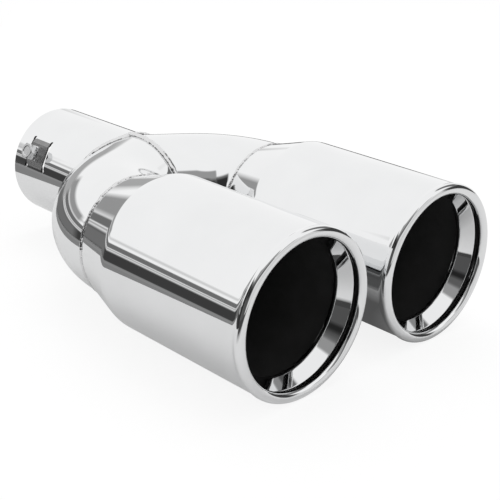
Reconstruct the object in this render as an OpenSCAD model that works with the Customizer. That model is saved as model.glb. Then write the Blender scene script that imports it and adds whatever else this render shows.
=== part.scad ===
// Twin exhaust tip: one inlet sleeve, two bent branches, two rolled-lip tips.
// Origin at the centre of the inlet face, +X towards the outlets, +Z up.
// The two tips lie side by side along Y, left on +Y and right on -Y.

/* [Tips] */
// Outer diameter of each tip
tip_d = 76; // [68:1:84]
// Distance between the two tip axes
tip_pitch = 89; // [86:1:104]
// Length of each tip from its shoulder to the front of its lip
tip_l = 89; // [70:0.2:120]
// Length of the cone between branch and tip
cone_l = 25.4; // [14:0.2:30]
// Outer radius of the bend where cone turns into tip
shoulder_r = 13; // [3:0.5:16]
// Sheet thickness of the tips
tip_wall = 1.5; // [1:0.1:1.8]

/* [Rolled lip] */
// Radius of the lip's round section
lip_r = 2.5; // [2.2:0.1:3]
// How far the lip stands proud of the tip
lip_proud = 0.5; // [0.2:0.1:0.8]
// Radius of the hollow neck behind the lip
neck_r = 6; // [3:0.5:10]
// Angle that the lip's sheet turns inwards past the front
lip_curl = 120; // [95:5:150]

/* [Mouth ring] */
// Radial step from the tip's inner wall in to the ring's narrowest bore
ring_step = 5.6; // [5.2:0.2:6]
// Angle by which the ring opens towards the mouth
ring_angle = 30; // [24:1:30]
// Radius of the bend at the ring's back end
ring_flare_r = 2.6; // [2:0.2:3]
// Length of the ring
ring_l = 10; // [8:0.5:20]
// Distance from the front of the lip back to the ring
ring_setback = 5.6; // [5.2:0.2:9]
// Sheet thickness of the ring
ring_wall = 0.9; // [0.7:0.1:1.2]

/* [Branches] */
// How much larger the branches are than the sleeve, in radius
branch_step = 0.8; // [0.4:0.1:2]
// Sheet thickness of the branches
branch_wall = 1.2; // [0.8:0.1:1.6]
// Radius of each bend, on the branch's axis
bend_r = 44; // [38:1:50]
// Angle of each bend
bend_angle = 60; // [52:1:66]

/* [Inlet sleeve] */
// Bore that slides over the tail pipe
sleeve_bore_d = 57; // [52:0.5:58]
// Sheet thickness of the sleeve
sleeve_wall = 1.2; // [0.8:0.1:1.6]
// Length from the inlet face to the point where the branch axes cross
sleeve_l = 74.5; // [60:0.5:110]

/* [Weld beads] */
// How far the beads round the branches' ends stand out
seam_bead = 1.2; // [0.6:0.1:1.8]
// Width of the beads in the corners of the Y joint
fillet_bead = 1; // [0.6:0.1:1.6]

/* [Clamps] */
// Height angle of the clamps' axis above the horizontal
clamp_tilt = 25; // [10:1:40]
// Distance from the inlet face to the clamps
clamp_x = 18.8; // [14:0.2:28]
// Length of each clamp pad along the sleeve
pad_l = 14; // [12:0.5:18]
// Width of each clamp pad round the sleeve
pad_w = 15.5; // [15:0.5:20]
// How far the pad's flat stands above the sleeve
pad_lift = 0.4; // [0.2:0.1:1.2]
// Width of the run down from the pad's flat into the sleeve
pad_ramp = 2.5; // [2:0.25:3]
// Width of the two slits beside each pad
slit_w = 1.6; // [0.8:0.1:2.4]
// Diameter of the relief holes at the slits' ends
slit_hole_d = 2.4; // [1.8:0.1:3]

/* [Clamp screws] */
// Diameter of the screws
screw_d = 5; // [4:0.5:6]
// Size across the flats of nuts and screw heads
hex_af = 8; // [7:0.5:10]
// Height of the nuts
nut_h = 2.7; // [2.4:0.1:4]
// Height of the screw heads
head_h = 3.5; // [2.4:0.1:4]
// Gap between nut and screw head as delivered
screw_gap = 1; // [0.6:0.1:3]

/* [Hidden] */
$fn = 96;

LEFT = 1;
RIGHT = -1;
// Overlap of cutting tools past the faces that they cut
cut = 1;
// Overlap of a sheet's arcs with the stretches beside them, in degrees
lap_angle = 0.5;
// How far the branches' route turns on past the seam, where the seam's plane cuts it off
overrun_angle = 3;

tip_r = tip_d / 2;
sleeve_bore_r = sleeve_bore_d / 2;
sleeve_r = sleeve_bore_r + sleeve_wall;
branch_r = sleeve_r + branch_step;

// Each branch runs straight from the crossing point and then bends into line with its tip
bend_drop = bend_r * (1 - cos(bend_angle));
straight_l = (tip_pitch / 2 - bend_drop) / sin(bend_angle);
seam_x = sleeve_l + straight_l * cos(bend_angle) + bend_r * sin(bend_angle);

// Centres of the round parts of the tip's sheet, as [radius, distance from the seam]
cone_angle = atan((tip_r - branch_r) / cone_l);
shoulder_c = [tip_r - shoulder_r, cone_l + shoulder_r * tan(cone_angle / 2)];
lip_c = [tip_r + lip_proud - lip_r, cone_l + tip_l - lip_r];
neck_rise = tip_r + neck_r - lip_c[0];
neck_c = [tip_r + neck_r, lip_c[1] - sqrt(pow(neck_r + lip_r, 2) - pow(neck_rise, 2))];
neck_angle = atan2(neck_c[1] - lip_c[1], neck_rise);

// The mouth ring turns out at its back end and seats on the tip's inner wall
tip_bore_r = tip_r - tip_wall;
ring_r = tip_bore_r - ring_step;
ring_front = cone_l + tip_l - ring_setback;
ring_back = ring_front - ring_l;

// Clamp parts are stacked outwards from the sleeve's axis
screw_r = screw_d / 2;
thread_clearance = 0.05;
hole_clearance = 0.3;
pad_top = sleeve_r + pad_lift;
nut_top = pad_top + nut_h;
head_base = nut_top + screw_gap;
screw_recess = 0.2;
screw_tip = sleeve_bore_r + screw_recess;
hex_chamfer = 0.5;

// The beads round the tips' seams are sunk below the sheet's surface by this much
bead_sink = 0.6;

function polar(r, a) = [r * cos(a), r * sin(a)];

// Sheet bent round a centre: a ring sector that runs from angle start to stop in the drawing
// plane, and a hair further, so that it grows into the sheet that it meets
module arc_strip(centre, r_in, r_out, start, stop) {
    steps = 6;
    reach = r_out * 2;
    a0 = min(start, stop) - lap_angle;
    a1 = max(start, stop) + lap_angle;
    translate(centre) intersection() {
        difference() {
            circle(r = r_out);
            circle(r = r_in);
        }
        polygon(concat([[0, 0]], [for (i = [0 : steps]) polar(reach, a0 + (a1 - a0) * i / steps)]));
    }
}

// Places what is drawn along +Z at a branch's seam, pointing along the tip's axis
module at_tip(side) {
    translate([seam_x, side * tip_pitch / 2, 0]) rotate([0, 90, 0]) children();
}

// Section of the tip's sheet: cone, shoulder, straight wall, neck and rolled lip
module tip_section() {
    out = polar(1, -cone_angle);
    cone_end = shoulder_c + shoulder_r * out;
    slant = tip_wall / cos(cone_angle);
    polygon([[branch_r - slant, 0], [branch_r, 0], cone_end, cone_end - tip_wall * out]);
    arc_strip(shoulder_c, shoulder_r - tip_wall, shoulder_r, -cone_angle, 0);
    translate([tip_bore_r, shoulder_c[1]]) square([tip_wall, neck_c[1] - shoulder_c[1]]);
    arc_strip(neck_c, neck_r, neck_r + tip_wall, 180, 180 + neck_angle);
    arc_strip(lip_c, lip_r - tip_wall, lip_r, neck_angle, 90 + lip_curl);
}

module tip_shell(side) {
    color("gainsboro") at_tip(side) rotate_extrude() tip_section();
}

// Ring inside the mouth, one sheet: a cone that opens towards the mouth, and at its back end a
// bend and a collar out to the tip's inner wall
module mouth_ring(side) {
    flare_c = [ring_r + ring_flare_r, ring_back + ring_flare_r];
    cone_start = ring_back + ring_flare_r * (1 + sin(ring_angle));
    cone_rise = (ring_front - cone_start) / cos(ring_angle);
    color("silver") at_tip(side) rotate_extrude() translate(flare_c) {
        rotate(180 - ring_angle) {
            translate([ring_flare_r - ring_wall, -cone_rise]) square([ring_wall, cone_rise]);
            arc_strip([0, 0], ring_flare_r - ring_wall, ring_flare_r, 0, 90 + ring_angle);
        }
        translate([0, -ring_flare_r]) square([tip_bore_r - flare_c[0], ring_wall]);
    }
}

// Bead round the butt joint of a branch and its tip
module tip_weld(side) {
    bead_r = seam_bead + bead_sink;
    reach = 2 * bead_r;
    color("lightgray") at_tip(side) rotate_extrude() difference() {
        translate([branch_r - bead_sink, 0]) circle(r = bead_r);
        translate([0, -reach]) square([branch_r, reach]);
        polygon([[0, 0], [branch_r, 0], [branch_r + reach * tan(cone_angle), reach], [0, reach]]);
    }
}

// Mirrors what is drawn for the left side when the right side is asked for
module to_side(side) {
    mirror([0, side == RIGHT ? 1 : 0, 0]) children();
}

// Solid of the left branch's route, with radius r, from past the centre plane to past the seam.
// The bend starts where the straight stretch ends, and turns back into line with the sleeve.
module branch_route(r) {
    translate([sleeve_l, 0, 0]) rotate([0, 0, bend_angle]) translate([straight_l, 0, 0]) {
        rotate([0, -90, 0]) cylinder(r = r, h = straight_l + 2 * branch_r);
        translate([0, -bend_r, 0]) rotate([180, 0, 90])
            rotate_extrude(angle = bend_angle + overrun_angle) translate([bend_r, 0]) circle(r = r);
    }
}

// The left route's part on its own side of the centre plane, up to the seam
module half_route(r) {
    size = 4 * tip_pitch;
    intersection() {
        branch_route(r);
        translate([seam_x - size, 0, -size / 2]) cube(size);
    }
}

module branch(side) {
    color("whitesmoke") to_side(side) difference() {
        half_route(branch_r);
        branch_route(branch_r - branch_wall);
        sleeve_solid(sleeve_bore_r);
    }
}

// Round bar along the sleeve's axis, lengthened by extra at both ends
module sleeve_solid(r, extra = 0) {
    translate([-extra, 0, 0]) rotate([0, 90, 0]) cylinder(r = r, h = sleeve_l + 2 * extra);
}

// Turns what is drawn along +Z to one clamp's axis
module at_clamp(side) {
    translate([clamp_x, 0, 0]) rotate([(90 - clamp_tilt) + (side > 0 ? 180 : 0), 0, 0]) children();
}

// The sleeve's end lies on the branches, and its clamp pads are pressed flat between two slits
module inlet_sleeve() {
    color("whitesmoke") difference() {
        union() {
            difference() {
                sleeve_solid(sleeve_r);
                sleeve_solid(sleeve_bore_r, cut);
                for (side = [LEFT, RIGHT]) {
                    to_side(side) half_route(branch_r);
                    at_clamp(side) pad_window();
                }
            }
            for (side = [LEFT, RIGHT]) at_clamp(side) clamp_pad();
        }
        for (side = [LEFT, RIGHT]) at_clamp(side) slit_holes();
    }
}

// Window that pad and slits take out of the sleeve
module pad_window() {
    length = pad_l + 2 * slit_w;
    translate([-length / 2, -pad_w / 2, 0]) cube([length, pad_w, sleeve_r + cut]);
}

// Relief holes at both ends of both slits
module slit_holes() {
    for (end = [-1, 1], slit = [-1, 1])
        translate([end * (pad_l + slit_w) / 2, slit * pad_w / 2, 0])
            cylinder(d = slit_hole_d, h = sleeve_r + cut);
}

// Flat pad whose sides run down into the sleeve's wall
module clamp_pad() {
    half = pad_w / 2;
    flat = half - pad_ramp;
    out_z = sqrt(pow(sleeve_r, 2) - pow(half, 2));
    in_z = sqrt(pow(sleeve_bore_r, 2) - pow(half, 2));
    difference() {
        rotate([90, 0, 90]) translate([0, 0, -pad_l / 2]) linear_extrude(height = pad_l) polygon([
            [-half, in_z], [-half, out_z], [-flat, pad_top], [flat, pad_top],
            [half, out_z], [half, in_z], [flat, pad_top - sleeve_wall], [-flat, pad_top - sleeve_wall]
        ]);
        cylinder(r = screw_r + hole_clearance, h = pad_top + cut);
    }
}

// Bead in the corner between the sleeve's end and the branches
module sleeve_weld() {
    color("lightgray") difference() {
        intersection() {
            for (side = [LEFT, RIGHT]) to_side(side) half_route(branch_r + fillet_bead);
            sleeve_solid(sleeve_r + fillet_bead);
        }
        sleeve_solid(sleeve_r);
        for (side = [LEFT, RIGHT]) to_side(side) half_route(branch_r);
    }
}

// Bead in the crotch where the two branches meet
module crotch_weld() {
    half = 4 * fillet_bead;
    color("lightgray") difference() {
        intersection() {
            branch_route(branch_r + fillet_bead);
            mirror([0, 1, 0]) branch_route(branch_r + fillet_bead);
            translate([sleeve_l, -half, -tip_pitch]) cube([tip_pitch, 2 * half, 2 * tip_pitch]);
        }
        for (side = [LEFT, RIGHT]) to_side(side) branch_route(branch_r);
    }
}

// Hexagon with its corners taken off at the outer end
module hex_block(height) {
    corner_r = hex_af / 2 / cos(30);
    intersection() {
        cylinder(r = corner_r, h = height, $fn = 6);
        cylinder(r1 = corner_r + height - hex_chamfer, r2 = corner_r - hex_chamfer, h = height);
    }
}

module clamp_nut(side) {
    color("silver") at_clamp(side) difference() {
        translate([0, 0, pad_top]) hex_block(nut_h);
        cylinder(r = screw_r + thread_clearance, h = nut_top + cut);
    }
}

module clamp_screw(side) {
    color("silver") at_clamp(side) {
        translate([0, 0, screw_tip]) cylinder(r = screw_r, h = head_base - screw_tip);
        translate([0, 0, head_base]) hex_block(head_h);
    }
}

inlet_sleeve();
branch(LEFT);  // left_branch
branch(RIGHT);  // right_branch
sleeve_weld();
crotch_weld();
tip_shell(LEFT);  // left_tip_shell
tip_shell(RIGHT);  // right_tip_shell
tip_weld(LEFT);  // left_tip_weld
tip_weld(RIGHT);  // right_tip_weld
mouth_ring(LEFT);  // left_mouth_ring
mouth_ring(RIGHT);  // right_mouth_ring
clamp_nut(LEFT);  // left_clamp_nut
clamp_nut(RIGHT);  // right_clamp_nut
clamp_screw(LEFT);  // left_clamp_screw
clamp_screw(RIGHT);  // right_clamp_screw
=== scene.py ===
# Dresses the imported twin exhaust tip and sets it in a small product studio.
# The part's own frame is used: +X to the outlets, +Z up, the right tip at -Y and the left at +Y.
# Shapes are worked out in millimetres, as in the part's source, and made in metres.

import math

import bmesh
import bpy
from mathutils import Matrix, Vector


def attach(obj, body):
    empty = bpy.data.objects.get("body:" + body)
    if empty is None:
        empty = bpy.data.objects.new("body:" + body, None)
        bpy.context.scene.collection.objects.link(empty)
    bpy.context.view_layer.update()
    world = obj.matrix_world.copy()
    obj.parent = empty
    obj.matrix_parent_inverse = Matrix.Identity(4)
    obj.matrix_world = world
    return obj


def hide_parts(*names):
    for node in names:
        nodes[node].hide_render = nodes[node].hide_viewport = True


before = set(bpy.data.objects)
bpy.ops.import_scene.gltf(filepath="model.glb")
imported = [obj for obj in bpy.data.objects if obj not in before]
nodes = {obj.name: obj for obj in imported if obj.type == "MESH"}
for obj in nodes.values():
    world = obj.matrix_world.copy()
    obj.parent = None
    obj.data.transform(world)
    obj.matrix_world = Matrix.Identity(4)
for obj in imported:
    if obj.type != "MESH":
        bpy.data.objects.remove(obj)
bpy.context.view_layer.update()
MM = 0.001
LEFT = 1
RIGHT = -1
SIDES = {"left": LEFT, "right": RIGHT}

# Sizes of the part, repeated from its source: tips, rolled lips and mouth rings
TIP_R = 38.0
TIP_WALL = 1.5
TIP_Y = 44.5
CONE_L = 25.4
TIP_L = 89.0
SHOULDER_R = 13.0
LIP_R = 2.5
LIP_PROUD = 0.5
NECK_R = 6.0
LIP_CURL = 120.0
RING_R = 30.9
RING_ANGLE = 30.0
RING_WALL = 0.9
RING_FLARE_R = 2.6
RING_L = 10.0
RING_SETBACK = 5.6
TIP_BORE_R = TIP_R - TIP_WALL

# Sleeve and branches, and where the branches' bends and ends then lie
SLEEVE_L = 74.5
SLEEVE_R = 29.7
BORE_R = 28.5
BRANCH_R = 30.5
BRANCH_WALL = 1.2
BEND_R = 44.0
BEND_ANGLE = 60.0
BEND_COS = math.cos(math.radians(BEND_ANGLE))
BEND_SIN = math.sin(math.radians(BEND_ANGLE))
STRAIGHT_L = (TIP_Y - BEND_R * (1 - BEND_COS)) / BEND_SIN
SEAM_X = SLEEVE_L + STRAIGHT_L * BEND_COS + BEND_R * BEND_SIN
TIP_SLOPE = (TIP_R - BRANCH_R) / CONE_L

# Clamps, with heights from the sleeve's axis
CLAMP_TILT = 25.0
CLAMP_X = 18.8
PAD_L = 14.0
PAD_W = 15.5
PAD_TOP = 30.1
NUT_H = 2.7
SCREW_D = 5.0
SCREW_TIP = 28.7
HEAD_BASE = 33.8
HEAD_H = 3.5
HEX_AF = 8.0
THREAD_PITCH = 0.8
THREAD_DEPTH = 0.45
TILT = math.radians(CLAMP_TILT)
CLAMP_AXIS = {
    side: Vector((0, side * math.cos(TILT), -side * math.sin(TILT))) for side in (LEFT, RIGHT)
}
CLAMP_ACROSS = {side: CLAMP_AXIS[side].cross(Vector((1, 0, 0))) for side in (LEFT, RIGHT)}

# Camera
# It stands where the photograph's perspective puts it, low over the near tip's side.
CAMERA_PLACE = Vector((507.06, -344.37, 187.46))
CAMERA_RIGHT = Vector((0.6925, 0.7203, 0.0396))
CAMERA_BACK = Vector((0.6598, -0.6547, 0.3687))
CAMERA_LENS = 78.18
SENSOR = 36.0


def make_camera():
    data = bpy.data.cameras.new("camera")
    data.sensor_width = SENSOR
    data.lens = CAMERA_LENS
    data.clip_start = 0.01
    data.clip_end = 20
    camera = bpy.data.objects.new("camera", data)
    back = CAMERA_BACK.normalized()
    right = (CAMERA_RIGHT - CAMERA_RIGHT.dot(back) * back).normalized()
    turn = Matrix((right, back.cross(right), back)).transposed()
    camera.matrix_world = Matrix.Translation(CAMERA_PLACE * MM) @ turn.to_4x4()
    bpy.context.scene.collection.objects.link(camera)
    bpy.context.scene.camera = camera


# Node helpers
def new_tree(name):
    material = bpy.data.materials.new(name)
    material.use_nodes = True
    material.node_tree.nodes.clear()
    return material, material.node_tree


def add(tree, kind, settings=None, **inputs):
    """New node with its settings and its sockets' values; a _ in a socket's name is a space."""
    node = tree.nodes.new(kind)
    for key, value in (settings or {}).items():
        setattr(node, key, value)
    for key, value in inputs.items():
        node.inputs[key.replace("_", " ")].default_value = value
    return node


def join(tree, output, socket):
    tree.links.new(output, socket)


def fill(tree, socket, value):
    """Joins an output to the socket, or gives the socket a plain value."""
    if isinstance(value, bpy.types.NodeSocket):
        join(tree, value, socket)
    else:
        socket.default_value = value


def maths(tree, operation, *values, kind="ShaderNodeMath", result=0):
    """Math node on outputs or plain values. Returns its result."""
    node = add(tree, kind, {"operation": operation})
    for socket, value in zip(node.inputs, values):
        fill(tree, socket, value)
    return node.outputs[result]


def vector_maths(tree, operation, *values, result="Vector"):
    return maths(tree, operation, *values, kind="ShaderNodeVectorMath", result=result)


def spread(tree, output, low, high):
    """A value between 0 and 1, spread from low to high."""
    node = add(tree, "ShaderNodeMapRange", To_Min=low, To_Max=high)
    join(tree, output, node.inputs["Value"])
    return node.outputs["Result"]


def mix_colours(tree, factor, first, second):
    """Mix of two colours or colour outputs."""
    node = add(tree, "ShaderNodeMix", {"data_type": "RGBA"})
    join(tree, factor, node.inputs[0])
    for socket, value in ((node.inputs[6], first), (node.inputs[7], second)):
        fill(tree, socket, (*value, 1) if isinstance(value, tuple) else value)
    return node.outputs[2]


def mix_values(tree, factor, first, second):
    """Mix of two numbers or number outputs."""
    node = add(tree, "ShaderNodeMix", {"data_type": "FLOAT"})
    for socket, value in zip((node.inputs[0], *node.inputs[2:4]), (factor, first, second)):
        fill(tree, socket, value)
    return node.outputs[0]


def mix_shaders(tree, out, share, first, second):
    """Mix of two shaders, as the surface of the output node."""
    mix = add(tree, "ShaderNodeMixShader")
    join(tree, share, mix.inputs[0])
    join(tree, first.outputs[0], mix.inputs[1])
    join(tree, second.outputs[0], mix.inputs[2])
    join(tree, mix.outputs[0], out.inputs["Surface"])


def place_of(tree):
    return add(tree, "ShaderNodeTexCoord").outputs["Object"]


def noise(tree, size, detail):
    """Noise whose patches are about size millimetres wide."""
    node = add(tree, "ShaderNodeTexNoise", Scale=1 / (size * MM), Detail=detail)
    join(tree, place_of(tree), node.inputs["Vector"])
    return node.outputs["Fac"]


def bump(tree, height, depth, below=None):
    """Bump of depth millimetres, on top of the one below."""
    node = add(tree, "ShaderNodeBump", Strength=1.0, Distance=depth * MM)
    join(tree, height, node.inputs["Height"])
    if below:
        join(tree, below, node.inputs["Normal"])
    return node.outputs["Normal"]


def scaled(colour, factor):
    return tuple(c * factor for c in colour)


# Materials of the object
# A sheet's list of materials holds its polished outside first and its inside, made near black with
# painted shade, second.
OUTSIDE = 0
INSIDE = 1
CHROME = (0.86, 0.865, 0.87)
RING_CHROME = (0.82, 0.825, 0.83)
FASTENER_METAL = (0.75, 0.755, 0.76)
WELD_METAL = (0.82, 0.82, 0.825)
DULL_METAL = (0.3, 0.3, 0.3)
# Colour of painted shade on the insides, which stand in the dark
PAINTED_SHADE_INSIDE = (0.045, 0.045, 0.045)
# How far the dull look runs past a pad's ends, and how squarely inside skin looks at the axis
PAD_EDGE = 0.05
FACING_IN = -0.3


def new_shader(tree, metallic=1.0):
    out = add(tree, "ShaderNodeOutputMaterial")
    shader = add(tree, "ShaderNodeBsdfPrincipled", Metallic=metallic)
    join(tree, shader.outputs["BSDF"], out.inputs["Surface"])
    return shader


def polished_look(tree, colour):
    """Colour, roughness and normal of buffed sheet: faint haze, fine grain, slight waviness."""
    haze = noise(tree, size=22, detail=4)
    tint = mix_colours(tree, haze, scaled(colour, 0.95), scaled(colour, 1.02))
    rough = spread(tree, noise(tree, size=5, detail=5), low=0.015, high=0.05)
    waves = bump(tree, noise(tree, size=38, detail=1), depth=0.02)
    grain = bump(tree, noise(tree, size=0.7, detail=3), depth=0.0001, below=waves)
    return tint, rough, grain


def polished(name, colour):
    material, tree = new_tree(name)
    shader = new_shader(tree)
    tint, rough, normal = polished_look(tree, colour)
    join(tree, tint, shader.inputs["Base Color"])
    join(tree, rough, shader.inputs["Roughness"])
    join(tree, normal, shader.inputs["Normal"])
    return material


def painted_shade_look(tree):
    """Painted shade for the inside of the sheet: matt and near black, darker in some places."""
    shade_patches = noise(tree, size=9, detail=4)
    tint = mix_colours(tree, shade_patches, scaled(PAINTED_SHADE_INSIDE, 0.7), scaled(PAINTED_SHADE_INSIDE, 1.3))
    return tint, spread(tree, noise(tree, size=3, detail=4), low=0.35, high=0.55)


# Matt near-black material: painted shade for the inside skins
def dark(name):
    material, tree = new_tree(name)
    shader = new_shader(tree, metallic=0.0)
    tint, rough = painted_shade_look(tree)
    join(tree, tint, shader.inputs["Base Color"])
    join(tree, rough, shader.inputs["Roughness"])
    fine_bumps = bump(tree, noise(tree, size=1.2, detail=4), depth=0.02)
    join(tree, fine_bumps, shader.inputs["Normal"])
    return material


def sleeve_metal(name):
    """Polished outside, painted shade inside, and dull on the clamp pads, which polishing doesn't
    reach.
    """
    material, tree = new_tree(name)
    shader = new_shader(tree)
    tint, rough, normal = polished_look(tree, CHROME)
    place = place_of(tree)
    parts = add(tree, "ShaderNodeSeparateXYZ")
    join(tree, place, parts.inputs[0])
    # The pads lie on both sides of the axis, between two planes beside it and two across it
    across = vector_maths(tree, "DOT_PRODUCT", place, CLAMP_ACROSS[RIGHT], result="Value")
    beside = maths(tree, "ABSOLUTE", across)
    along = maths(tree, "ABSOLUTE", maths(tree, "SUBTRACT", parts.outputs["X"], CLAMP_X * MM))
    on_pad = maths(tree, "MULTIPLY",
                   maths(tree, "LESS_THAN", beside, PAD_W / 2 * MM),
                   maths(tree, "LESS_THAN", along, (PAD_L / 2 + PAD_EDGE) * MM))
    patches = noise(tree, size=2.5, detail=5)
    grey = mix_colours(tree, patches, scaled(DULL_METAL, 0.8), scaled(DULL_METAL, 1.2))
    tint = mix_colours(tree, on_pad, tint, grey)
    dull = spread(tree, noise(tree, size=1.5, detail=4), low=0.35, high=0.5)
    rough = mix_values(tree, on_pad, rough, dull)
    # Inside, where the surface looks back at the axis, painted shade takes over: near black and not
    # metal
    outward = vector_maths(tree, "NORMALIZE", vector_maths(tree, "MULTIPLY", place, (0, 1, 1)))
    skin = add(tree, "ShaderNodeNewGeometry").outputs["True Normal"]
    facing = vector_maths(tree, "DOT_PRODUCT", outward, skin, result="Value")
    inside = maths(tree, "LESS_THAN", facing, FACING_IN)
    # Painted shade for the inside skin
    dark_tint, dark_rough = painted_shade_look(tree)
    join(tree, mix_colours(tree, inside, tint, dark_tint), shader.inputs["Base Color"])
    join(tree, mix_values(tree, inside, rough, dark_rough), shader.inputs["Roughness"])
    join(tree, maths(tree, "SUBTRACT", 1.0, inside), shader.inputs["Metallic"])
    join(tree, normal, shader.inputs["Normal"])
    return material


def rough_metal(name, colour, rough, grain, depth):
    """Metal that isn't buffed: uneven colour, wider highlights and a grain."""
    material, tree = new_tree(name)
    shader = new_shader(tree)
    tint = mix_colours(tree, noise(tree, size=2, detail=4), scaled(colour, 0.8), colour)
    join(tree, tint, shader.inputs["Base Color"])
    join(tree, spread(tree, noise(tree, size=1, detail=4), *rough), shader.inputs["Roughness"])
    join(tree, bump(tree, noise(tree, grain, detail=3), depth), shader.inputs["Normal"])
    return material


# Mesh helpers
# Edges that bend by more than the crease, in degrees, stay crisp. END_ROW is the distance of the
# first and the last row on a straight line from its ends.
LATHE_STEPS = 256
SHEET_CREASE = 40
BEAD_CREASE = 75
HEX_CREASE = 25
END_ROW = 0.3


def make_object(name, verts, faces, materials, indices=None, sharp=None):
    """Mesh object from points in millimetres, smooth but for its creases if sharp is given."""
    mesh = bpy.data.meshes.new(name)
    mesh.from_pydata([Vector(v) * MM for v in verts], [], faces)
    for material in materials:
        mesh.materials.append(material)
    if indices:
        mesh.polygons.foreach_set("material_index", indices)
    if sharp:
        work = bmesh.new()
        work.from_mesh(mesh)
        bmesh.ops.recalc_face_normals(work, faces=work.faces)
        work.to_mesh(mesh)
        work.free()
        mesh.shade_smooth()
        mesh.set_sharp_from_angle(angle=math.radians(sharp))
    mesh.update()
    piece = bpy.data.objects.new(name, mesh)
    bpy.context.scene.collection.objects.link(piece)
    return piece


def round_steps(count):
    """Angles of a full turn in equal steps."""
    return [2 * math.pi * i / count for i in range(count)]


def tube(rings, capped=False):
    """Vertices and faces of a tube from rings of equal length.

    It runs back into its first ring, or is capped at its first and its last.
    """
    count = len(rings[0])
    verts = [point for ring in rings for point in ring]
    faces = []
    for i in range(len(rings) - 1 if capped else len(rings)):
        here, there = i * count, (i + 1) % len(rings) * count
        for j in range(count):
            k = (j + 1) % count
            faces.append((here + j, here + k, there + k, there + j))
    if capped:
        faces.append(tuple(range(count))[::-1])
        faces.append(tuple(range(len(verts) - count, len(verts))))
    return verts, faces


def lathe(name, section, place, materials):
    """Turns a closed section of (radius, height, material) points round an axis.

    place(radius, angle, height) gives the point. A point's material is its own and the next's.
    """
    rings = []
    for angle in round_steps(LATHE_STEPS):
        rings.append([place(radius, angle, height) for radius, height, _ in section])
    indices = [point[2] for point in section] * LATHE_STEPS
    return make_object(name, *tube(rings), materials, indices, SHEET_CREASE)


def arc(centre, radius, start, stop, material=OUTSIDE, step=2.5):
    """Section points on an arc, angles in degrees in the plane of radius and height."""
    count = max(2, math.ceil(abs(stop - start) / step))
    points = []
    for i in range(count + 1):
        a = math.radians(start + (stop - start) * i / count)
        reach, height = radius * math.cos(a), radius * math.sin(a)
        points.append((centre[0] + reach, centre[1] + height, material))
    return points


def straight(start, stop, material=OUTSIDE):
    """Section points on a line, with rows close to both its ends that keep the shading flat."""
    start, stop = Vector(start), Vector(stop)
    part = END_ROW / (stop - start).length
    return [(*start.lerp(stop, t), material) for t in (part, 0.5, 1 - part)]


def at_tip(side):
    """Place function of what is turned round a tip's axis, with heights from the seam."""
    def place(radius, angle, height):
        return SEAM_X + height, side * TIP_Y + radius * math.cos(angle), radius * math.sin(angle)
    return place


def at_clamp(side):
    """Place function of what is turned round a clamp's axis, heights from the sleeve's axis."""
    axis, across = CLAMP_AXIS[side], CLAMP_ACROSS[side]

    def place(radius, angle, height):
        flat = Vector((radius * math.cos(angle), 0, 0)) + across * radius * math.sin(angle)
        return Vector((CLAMP_X, 0, 0)) + axis * height + flat
    return place


def settle(piece, body, slot, *replaced):
    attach(piece, body)
    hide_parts(*replaced)


# Tips
def tip_section():
    """Sheet of the tip: cone, shoulder, straight wall, neck and rolled lip, then back inside."""
    cone_angle = math.degrees(math.atan(TIP_SLOPE))
    shoulder = (TIP_R - SHOULDER_R, CONE_L + SHOULDER_R * math.tan(math.radians(cone_angle / 2)))
    lip = (TIP_R + LIP_PROUD - LIP_R, CONE_L + TIP_L - LIP_R)
    rise = TIP_R + NECK_R - lip[0]
    neck = (TIP_R + NECK_R, lip[1] - math.sqrt((NECK_R + LIP_R) ** 2 - rise ** 2))
    neck_angle = math.degrees(math.atan2(neck[1] - lip[1], rise))
    lip_end = 90 + LIP_CURL
    outer = [(BRANCH_R, 0, OUTSIDE)]
    outer_shoulder = arc(shoulder, SHOULDER_R, -cone_angle, 0)
    outer_neck = arc(neck, NECK_R, 180, 180 + neck_angle)
    outer += straight(outer[0][:2], outer_shoulder[0][:2])
    outer += outer_shoulder + straight(outer_shoulder[-1][:2], outer_neck[0][:2])
    outer += outer_neck[:-1] + arc(lip, LIP_R, neck_angle, lip_end)
    inner = arc(lip, LIP_R - TIP_WALL, lip_end, neck_angle, step=8)
    inner += arc(neck, NECK_R + TIP_WALL, 180 + neck_angle, 180, INSIDE)
    inner_shoulder = arc(shoulder, SHOULDER_R - TIP_WALL, 0, -cone_angle, INSIDE)
    inner += straight(inner[-1][:2], inner_shoulder[0][:2], INSIDE) + inner_shoulder
    inner.append((BRANCH_R - TIP_WALL / math.cos(math.radians(cone_angle)), 0, INSIDE))
    return outer + inner


def make_tip(side_name, side):
    piece = lathe(side_name + "_tip", tip_section(), at_tip(side), [steel, inside])
    settle(piece, "tip_body", "polished_steel", side_name + "_tip_shell")


# Mouth rings
def ring_section():
    """Sheet of the ring: cone, rounded front edge, outside, and the collar to the tip's wall."""
    front = CONE_L + TIP_L - RING_SETBACK
    back = front - RING_L
    flare = (RING_R + RING_FLARE_R, back + RING_FLARE_R)
    slant = math.radians(RING_ANGLE)
    out = Vector((-math.cos(slant), math.sin(slant)))
    along = Vector((math.sin(slant), math.cos(slant)))
    start = Vector(flare) + RING_FLARE_R * out
    edge_r = RING_WALL / 2
    reach = (front - start.y) / math.cos(slant) - edge_r
    edge = start + along * reach - out * edge_r
    points = arc(flare, RING_FLARE_R, 270, 180 - RING_ANGLE)
    points += straight(start, start + along * reach)
    points += arc(edge, edge_r, 180 - RING_ANGLE, -RING_ANGLE, step=15)
    outside = start - out * RING_WALL
    points += straight(outside + along * reach, outside, INSIDE)
    points += arc(flare, RING_FLARE_R - RING_WALL, 180 - RING_ANGLE, 270, INSIDE)
    points.append((TIP_BORE_R, back + RING_WALL, INSIDE))
    points.append((TIP_BORE_R, back, OUTSIDE))
    return points


def make_ring(side_name, side):
    piece = lathe(side_name + "_ring", ring_section(), at_tip(side), [ring_steel, inside])
    settle(piece, "tip_body", "mouth_ring", side_name + "_mouth_ring")


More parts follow.
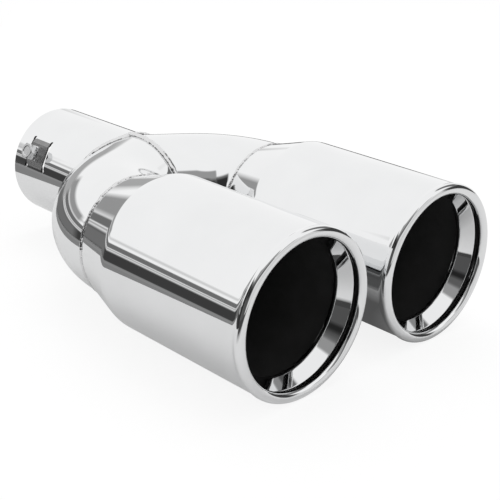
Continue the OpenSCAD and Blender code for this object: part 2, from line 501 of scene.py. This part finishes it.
# Weld beads
# The bead on a tip's seam sinks into the metal, stands proud and leans a little as it was laid.
BEAD_STEPS = 960
BEAD_ROWS = 14
BEAD_SINK = 0.6
BEAD_PROUD = 0.65
BEAD_HALF = 1.1
BEAD_SHIFT = 0.2
BEAD_LEAN = 0.02
BEAD_RIPPLE = 0.06
BEAD_SWELL = 0.12
BEAD_DRIFT = 0.25
# The beads at the sleeve's end and in the crotch are round and a little flattened.
FILLET_R = 1.8
FILLET_RISE = 0.8
FILLET_RIPPLE = 0.03
FILLET_SWELL = 0.08
FILLET_STEP = 0.01
CROTCH_STEPS = 480
CROTCH_REACH = math.radians(103)
# Counts of waves round a circle, the shift between them and how far they reach together
WOBBLE_WAVES = (7, 23, 41)
RIPPLE_WAVES = (53, 71, 97, 134)
WAVE_SHIFT = 1.7
WAVE_REACH = 1.2


def wobble(angle, seed, waves=WOBBLE_WAVES):
    """Uneven value between about -1 and 1 that runs smoothly round a circle."""
    total = sum(math.sin(angle * k + seed * k * WAVE_SHIFT) for k in waves)
    return total * WAVE_REACH / len(waves)


def ripples(angle, seed):
    """Short uneven waves of a hand-laid bead, between about -1 and 1."""
    return wobble(angle, seed, RIPPLE_WAVES)


def make_bead(side_name, side):
    """Hand-laid bead that wanders a little to both sides of the seam."""
    place = at_tip(side)
    rings = []
    for angle in round_steps(BEAD_STEPS):
        swell = BEAD_RIPPLE * ripples(angle, seed=side)
        proud = BEAD_SINK + BEAD_PROUD * (1 + swell + BEAD_SWELL * wobble(angle, seed=2 + side))
        drift = BEAD_DRIFT * wobble(angle, seed=5 + side)
        drift += BEAD_RIPPLE * ripples(angle, seed=4 + side)
        half = BEAD_HALF * (1 + BEAD_RIPPLE * ripples(angle, seed=7 + side))
        ring = []
        for j in range(BEAD_ROWS):
            a = math.pi * j / (BEAD_ROWS - 1)
            height = drift + half * math.cos(a) + BEAD_SHIFT
            radius = BRANCH_R - BEAD_SINK + max(0, height) * TIP_SLOPE + proud * math.sin(a)
            ring.append(place(radius, angle + BEAD_LEAN * math.sin(a), height))
        rings.append(ring)
    piece = make_object(side_name + "_seam_bead", *tube(rings), [weld], sharp=BEAD_CREASE)
    settle(piece, "tip_body", "weld_bead", side_name + "_tip_weld")


def sleeve_joint(angle):
    """Point of the line on which the sleeve's skin meets the branches' skin."""
    y, z = SLEEVE_R * math.cos(angle), SLEEVE_R * math.sin(angle)
    reach = math.sqrt(BRANCH_R ** 2 - z ** 2)
    return Vector((SLEEVE_L + (abs(y) * BEND_COS - reach) / BEND_SIN, y, z))


def crotch_joint(angle):
    """Point of the line on which the branches' skins meet on the centre plane."""
    x = SLEEVE_L + BRANCH_R * math.cos(angle) / BEND_SIN
    return Vector((x, 0, BRANCH_R * math.sin(angle)))


def bead_rings(joint, angles, outward, seed):
    """Round sections along a joint, whose size runs unevenly."""
    rings = []
    for angle in angles:
        middle = joint(angle)
        along = (joint(angle + FILLET_STEP) - joint(angle - FILLET_STEP)).normalized()
        up = outward(angle)
        up = (up - up.dot(along) * along).normalized()
        across = along.cross(up)
        swell = FILLET_RIPPLE * ripples(angle, seed)
        radius = FILLET_R * (1 + swell + FILLET_SWELL * wobble(angle, seed + 1))
        ring = []
        for a in round_steps(BEAD_ROWS):
            offset = across * math.cos(a) + up * math.sin(a) * FILLET_RISE
            ring.append(middle + offset * radius)
        rings.append(ring)
    return rings


def make_sleeve_bead():
    """Bead along the sleeve's fish-mouth end."""
    def outward(angle):
        return Vector((0, math.cos(angle), math.sin(angle)))

    rings = bead_rings(sleeve_joint, round_steps(BEAD_STEPS), outward, seed=3)
    piece = make_object("sleeve_bead", *tube(rings), [weld], sharp=BEAD_CREASE)
    settle(piece, "tip_body", "weld_bead", "sleeve_weld")


def make_crotch_bead():
    """Bead from the sleeve's end over the top, through the crotch and back underneath."""
    def outward(angle):
        return Vector((math.cos(angle), 0, math.sin(angle)))

    angles = [CROTCH_REACH * (2 * i / CROTCH_STEPS - 1) for i in range(CROTCH_STEPS + 1)]
    rings = bead_rings(crotch_joint, angles, outward, seed=6)
    piece = make_object("crotch_bead", *tube(rings, capped=True), [weld], sharp=BEAD_CREASE)
    settle(piece, "tip_body", "weld_bead", "crotch_weld")


# Branches
# The start of a branch's skin is looked for back to ROUTE_END, in steps and then by halving.
BRANCH_STEPS = 256
STRAIGHT_ROWS = 20
BEND_ROWS = 48
ROUTE_END = -2 * BRANCH_R
ROUTE_STEP = 0.5
ROUTE_HALVINGS = 24


def route_point(run, angle, radius):
    """Point of the left branch's skin. Run is the distance on the axis from the crossing point."""
    bend = math.radians(BEND_ANGLE)
    if run < STRAIGHT_L:
        turn = bend
        axis = Vector((SLEEVE_L + run * math.cos(bend), run * math.sin(bend), 0))
    else:
        turn = bend - (run - STRAIGHT_L) / BEND_R
        y = TIP_Y - BEND_R + BEND_R * math.cos(turn)
        axis = Vector((SEAM_X - BEND_R * math.sin(turn), y, 0))
    side = Vector((-math.sin(turn), math.cos(turn), 0))
    return axis + side * radius * math.cos(angle) + Vector((0, 0, radius * math.sin(angle)))


def left_out(point):
    """True where the branch is cut away: past the centre plane and in the sleeve's bore."""
    in_bore = point.x < SLEEVE_L and math.hypot(point.y, point.z) < BORE_R
    return point.y < 0 or in_bore


def route_start(angle, radius):
    """Run at which a line of the branch's skin comes out of what is cut away."""
    run = STRAIGHT_L
    while run > ROUTE_END and not left_out(route_point(run, angle, radius)):
        run -= ROUTE_STEP
    low, high = run, run + ROUTE_STEP
    for _ in range(ROUTE_HALVINGS):
        middle = (low + high) / 2
        if left_out(route_point(middle, angle, radius)):
            low = middle
        else:
            high = middle
    return high


def make_branch(side_name, side):
    """Mitred straight stretch and bend: the outside skin towards the tip, the inside skin back."""
    end = STRAIGHT_L + BEND_R * math.radians(BEND_ANGLE)
    rings = []
    for angle in round_steps(BRANCH_STEPS):
        ring = []
        for radius in (BRANCH_R, BRANCH_R - BRANCH_WALL):
            start = route_start(angle, radius)
            runs = [start + (STRAIGHT_L - start) * j / STRAIGHT_ROWS for j in range(STRAIGHT_ROWS)]
            runs += [STRAIGHT_L + (end - STRAIGHT_L) * j / BEND_ROWS for j in range(BEND_ROWS + 1)]
            skin = [route_point(run, angle, radius) for run in runs]
            ring += skin if radius == BRANCH_R else skin[::-1]
        rings.append([(p.x, side * p.y, p.z) for p in ring])
    rows = STRAIGHT_ROWS + BEND_ROWS
    # The inside skin takes the painted-shade material
    indices = ([OUTSIDE] * rows + [INSIDE] * (rows + 2)) * BRANCH_STEPS
    name = side_name + "_elbow"
    piece = make_object(name, *tube(rings), [steel, inside], indices, sharp=SHEET_CREASE)
    settle(piece, "tip_body", "polished_steel", side_name + "_branch")


# Clamp screws and nuts
# The head's top face and dish are shares of half its width, and the screw's point of its diameter.
HEX_SIDES = 6
HEX_PART = math.radians(360 / HEX_SIDES)
CORNER_STEPS = 12
HEX_ANGLES = round_steps(HEX_SIDES * CORNER_STEPS)
HEX_CHAMFER_SLOPE = math.tan(math.radians(30))
HEX_FACE = 0.96
DISH_EDGE = 0.7
DISH_FLOOR = 0.6
DISH_DEPTH = 0.25
THREAD_ROWS = 60
THREAD_ROUNDING = 0.8
POINT_FACE = 0.3
POINT_BEVEL = 0.8
NUT_PLAY = 0.05
NUT_BEVEL = 0.3


def hex_radius(angle):
    """Distance from the centre to a hexagon's side, with its corners at multiples of 60 degrees."""
    return HEX_AF / 2 / math.cos((angle % HEX_PART) - HEX_PART / 2)


def round_ring(place, radius, height):
    return [place(radius, a, height) for a in HEX_ANGLES]


def hex_rings(place, base, height):
    """Rings of a hexagon from its base up to its chamfered top."""
    face_r = HEX_AF / 2 * HEX_FACE
    drops = {a: max(0, hex_radius(a) - face_r) * HEX_CHAMFER_SLOPE for a in HEX_ANGLES}
    bottom = [place(hex_radius(a), a, base) for a in HEX_ANGLES]
    shoulder = [place(hex_radius(a), a, base + height - drops[a]) for a in HEX_ANGLES]
    return [bottom, shoulder, round_ring(place, face_r, base + height)]


def thread_radius(angle, height):
    """Radius of a right-hand thread with rounded roots and narrow crests."""
    part = (height / THREAD_PITCH - angle / (2 * math.pi)) % 1
    return SCREW_D / 2 - THREAD_DEPTH * abs(2 * part - 1) ** THREAD_ROUNDING


def make_screw(side_name, side):
    """Screw with a bevelled point, a thread up to its head, and a head dished a little on top."""
    place = at_clamp(side)
    rings = [round_ring(place, POINT_FACE * SCREW_D, SCREW_TIP)]
    for j in range(THREAD_ROWS + 1):
        height = SCREW_TIP + (HEAD_BASE - SCREW_TIP) * j / THREAD_ROWS
        point_r = SCREW_D / 2 - POINT_BEVEL + max(0, height - SCREW_TIP)
        radii = [min(point_r, thread_radius(a, height)) for a in HEX_ANGLES]
        rings.append([place(radius, a, height) for radius, a in zip(radii, HEX_ANGLES)])
    rings += hex_rings(place, HEAD_BASE, HEAD_H)
    rings.append(round_ring(place, HEX_AF / 2 * DISH_EDGE, HEAD_BASE + HEAD_H))
    rings.append(round_ring(place, HEX_AF / 2 * DISH_FLOOR, HEAD_BASE + HEAD_H - DISH_DEPTH))
    name = side_name + "_screw"
    piece = make_object(name, *tube(rings, capped=True), [fastener], sharp=HEX_CREASE)
    settle(piece, name, "fasteners", side_name + "_clamp_screw")


def make_nut(side_name, side):
    """Nut on the pad, with a bevel at the top of its bore."""
    place = at_clamp(side)
    bore_r = SCREW_D / 2 + NUT_PLAY
    rings = hex_rings(place, PAD_TOP, NUT_H)
    rings.append(round_ring(place, bore_r + NUT_BEVEL, PAD_TOP + NUT_H))
    rings.append(round_ring(place, bore_r, PAD_TOP + NUT_H - NUT_BEVEL))
    rings.append(round_ring(place, bore_r, PAD_TOP))
    piece = make_object(side_name + "_nut", *tube(rings), [fastener], sharp=HEX_CREASE)
    settle(piece, "tip_body", "fasteners", side_name + "_clamp_nut")


# Studio
# The tip lies on a white table whose left edge is near. Beyond it the room is dark up to a large
# overhead softbox. Cards stand for the dark and the lit parts, and only reflections meet them.
TABLE_GAP = 0.1
FLOOR_Z = -(TIP_R + LIP_PROUD) - TABLE_GAP
ROOM_CENTRE = Vector((120, 0, 0))
ROOM_RADIUS = 8000
SKY_LIGHT = 0.7
TABLE_EDGE_AZIMUTH = -129
TABLE_EDGE_DISTANCE = 112
TABLE_REACH = 1500
TABLE_WHITE = 0.8
TABLE_GLOW = 0.78
TABLE_GLOW_LEVEL = 1.1
TABLE_MIRROR_GLOW = 0.2
CARD_COLUMNS = 48
CARD_ROWS = 24
CARD_GAP = 20
# The lamp's size and its place from the room's centre are in metres.
LAMP_POWER = 3.6
LAMP_SIZE = 0.9
LAMP_OFFSET = Vector((-0.15, 0.25, 1.1))


def make_world():
    """Plain soft light, and plain white where the camera, metal or glass looks at it."""
    world = bpy.data.worlds.new("studio")
    bpy.context.scene.world = world
    world.use_nodes = True
    tree = world.node_tree
    tree.nodes.clear()
    out = add(tree, "ShaderNodeOutputWorld")
    light = add(tree, "ShaderNodeBackground", Color=(1, 1, 1, 1), Strength=SKY_LIGHT)
    white = add(tree, "ShaderNodeBackground", Color=(1, 1, 1, 1), Strength=1.0)
    rays = add(tree, "ShaderNodeLightPath").outputs
    seen = maths(tree, "MAXIMUM", rays["Is Camera Ray"], rays["Is Glossy Ray"])
    seen = maths(tree, "MAXIMUM", seen, rays["Is Transmission Ray"])
    mix_shaders(tree, out, seen, light, white)


def direction(azimuth, elevation):
    a, e = math.radians(azimuth), math.radians(elevation)
    return Vector((math.cos(a) * math.cos(e), math.sin(a) * math.cos(e), math.sin(e)))


def card_material(name, level):
    """Even grey light that fades out where the card's cover falls to 0."""
    material, tree = new_tree(name)
    out = add(tree, "ShaderNodeOutputMaterial")
    cover = add(tree, "ShaderNodeAttribute", {"attribute_name": "cover"})
    clear = add(tree, "ShaderNodeBsdfTransparent")
    glow = add(tree, "ShaderNodeEmission", Color=(level, level, level, 1), Strength=1.0)
    mix_shaders(tree, out, cover.outputs["Fac"], clear, glow)
    return material


def steps_between(ends, count):
    """Values from one end to the other in equal steps, both ends with them."""
    return [ends[0] + (ends[1] - ends[0]) * i / count for i in range(count + 1)]


def fade(value, ends, width):
    """1 in the middle of a span, falling to 0 at its ends over a width."""
    return max(0, min(1, (value - ends[0]) / width, (ends[1] - value) / width))


def reflect_only(name, columns, cover, level):
    """Grey sheet that only reflections meet, from columns of points and the cover at each."""
    rows = len(columns[0])
    verts = [point for column in columns for point in column]
    faces = []
    for i in range(len(columns) - 1):
        for j in range(rows - 1):
            k = i * rows + j
            faces.append((k, k + 1, k + rows + 1, k + rows))
    piece = make_object(name, verts, faces, [card_material(name, level)])
    piece.data.attributes.new("cover", "FLOAT", "POINT").data.foreach_set("value", cover)
    piece.visible_camera = False
    piece.visible_diffuse = False
    piece.visible_transmission = False
    piece.visible_shadow = False


def make_card(order, name, azimuths, elevations, level, soft):
    """Part of a sphere round the object. Cards with a higher order stand before the others."""
    radius = ROOM_RADIUS - CARD_GAP * order
    columns, cover = [], []
    for a in steps_between(azimuths, CARD_COLUMNS):
        heights = steps_between(elevations, CARD_ROWS)
        columns.append([ROOM_CENTRE + direction(a, e) * radius for e in heights])
        cover += [fade(a, azimuths, soft[0]) * fade(e, elevations, soft[1]) for e in heights]
    reflect_only(name, columns, cover, level)


def make_floor():
    """Table whose left edge runs square to one azimuth, at a set distance from the inlet."""
    edge_side = direction(TABLE_EDGE_AZIMUTH, 0)
    along = Vector((-edge_side.y, edge_side.x, 0)) * TABLE_REACH
    near = edge_side * TABLE_EDGE_DISTANCE
    far = near - edge_side * 2 * TABLE_REACH
    drop = Vector((0, 0, FLOOR_Z))
    material, tree = new_tree("table")
    out = add(tree, "ShaderNodeOutputMaterial")
    paper = add(tree, "ShaderNodeBsdfDiffuse", Color=(TABLE_WHITE, TABLE_WHITE, TABLE_WHITE, 1))
    glow = add(tree, "ShaderNodeEmission", Color=(1, 1, 1, 1), Strength=TABLE_GLOW_LEVEL)
    rays = add(tree, "ShaderNodeLightPath").outputs
    mirrored = maths(tree, "MAXIMUM", rays["Is Glossy Ray"], rays["Is Transmission Ray"])
    share = maths(tree, "MAXIMUM",
                  maths(tree, "MULTIPLY", rays["Is Camera Ray"], TABLE_GLOW),
                  maths(tree, "MULTIPLY", mirrored, TABLE_MIRROR_GLOW))
    mix_shaders(tree, out, share, paper, glow)
    corners = [near - along, near + along, far + along, far - along]
    floor = make_object("table", [c + drop for c in corners], [(0, 1, 2, 3)], [material])


def make_back_wall():
    """Low dark wall behind the object. It draws the thin line along the top edges of the metal."""
    steps = 32
    radius = 330
    top = 8
    azimuths = (100, 168)
    soft = 8
    columns, cover = [], []
    for azimuth in steps_between(azimuths, steps):
        foot = ROOM_CENTRE + direction(azimuth, 0) * radius
        columns.append([foot + Vector((0, 0, FLOOR_Z)), foot + Vector((0, 0, top))])
        cover += [fade(azimuth, azimuths, soft)] * 2
    reflect_only("back_wall", columns, cover, level=0.05)


def make_front_shade():
    """Dark stretch of the table before the mouths, further out than their bright stretch."""
    steps = 24
    lift = 1
    across = (215, 1400)
    along = (-150, -1400)
    soft = 75
    rows = ((along[0], 0), (along[0] - soft, 1), (along[1], 1))
    columns, cover = [], []
    for x in steps_between(across, steps):
        columns.append([Vector((x, y, FLOOR_Z + lift)) for y, _ in rows])
        cover += [strength if x > across[0] else 0 for _, strength in rows]
    reflect_only("front_shade", columns, cover, level=0.06)


def make_under_shade():
    """Shade on the table between and under the tips, as the metal shows it."""
    steps = 12
    lift = 0.1
    across = (105, 252)
    along = (-38, 92)
    soft = 30
    columns, cover = [], []
    for x in steps_between(across, steps):
        places = steps_between(along, steps)
        columns.append([Vector((x, y, FLOOR_Z + lift)) for y in places])
        cover += [fade(x, across, soft) * fade(y, along, soft) for y in places]
    reflect_only("under_shade", columns, cover, level=0.09)


def make_lamp():
    data = bpy.data.lights.new("softbox", "AREA")
    data.shape = "RECTANGLE"
    data.size = LAMP_SIZE
    data.size_y = LAMP_SIZE
    data.energy = LAMP_POWER
    lamp = bpy.data.objects.new("softbox", data)
    centre = ROOM_CENTRE * MM
    lamp.location = centre + LAMP_OFFSET
    lamp.rotation_euler = (centre - lamp.location).to_track_quat("-Z", "Y").to_euler()
    lamp.visible_camera = False
    lamp.visible_glossy = False
    bpy.context.scene.collection.objects.link(lamp)


# Name, azimuths, elevations, grey level, and how softly its sides and its top and bottom fade
CARDS = (
    ("upper_grey", (-131, 5), (26, 45), 0.28, (5, 4)),
    ("front_upper", (-88, 8), (36, 58), 0.34, (5, 3)),
    ("near_dark", (-127, -84), (-40, 43), 0.03, (1.5, 7)),
    ("near_mid", (-92, -30), (-40, 43), 0.09, (10, 7)),
    ("near_line", (-84, -48), (19, 37), 0.02, (6, 5)),
    ("front_band", (-66, 5), (28, 44), 0.12, (12, 5)),
    ("front_soft", (0, 38), (24, 40), 0.4, (10, 6)),
    ("front_light", (-36, 60), (-12, 27), 0.7, (10, 8)),
    ("right_grey", (68, 106), (20, 60), 0.17, (5, 6)),
    ("right_dark", (46, 96), (-12, 28), 0.05, (6, 6)),
    ("strip_low", (-192, -118), (-40, -9), 0.24, (5, 1.5)),
    ("strip_black", (-192, -118), (-11, 2), 0.05, (5, 2)),
    ("strip_side", (-202, -144), (-10, 1), 0.17, (8, 2)),
    ("strip_line", (-192, -118), (1.5, 3.5), 0.4, (5, 0.8)),
    ("strip_grey", (-192, -118), (3.3, 8.5), 0.17, (5, 0.8)),
    ("strip_edge", (-192, -118), (10, 14), 0.65, (5, 2)),
    ("back_grey", (142, 180), (-2, 13), 0.42, (6, 3)),
    ("left_grey", (-194, -145), (7.5, 18), 0.33, (5, 3)),
)

# The scene
make_camera()
steel = polished("polished_steel", CHROME)
ring_steel = polished("mouth_ring", RING_CHROME)
# Painted shade for the insides of tips, rings and branches: matt and near black
inside = dark("painted_shade_inside")
weld = rough_metal("weld_bead", WELD_METAL, rough=(0.07, 0.16), grain=0.6, depth=0.006)
fastener = rough_metal("fasteners", FASTENER_METAL, rough=(0.08, 0.2), grain=0.4, depth=0.004)
sleeve = sleeve_metal("sleeve_steel")
make_sleeve_bead()
make_crotch_bead()
nodes["inlet_sleeve"].data.materials.clear()
nodes["inlet_sleeve"].data.materials.append(sleeve)
for side_name, side in SIDES.items():
    make_tip(side_name, side)
    make_ring(side_name, side)
    make_bead(side_name, side)
    make_branch(side_name, side)
    make_screw(side_name, side)
    make_nut(side_name, side)

make_world()
make_floor()
make_back_wall()
make_front_shade()
make_under_shade()
make_lamp()
for order, values in enumerate(CARDS):
    make_card(order, *values)

bpy.context.scene.view_settings.view_transform = "Standard"
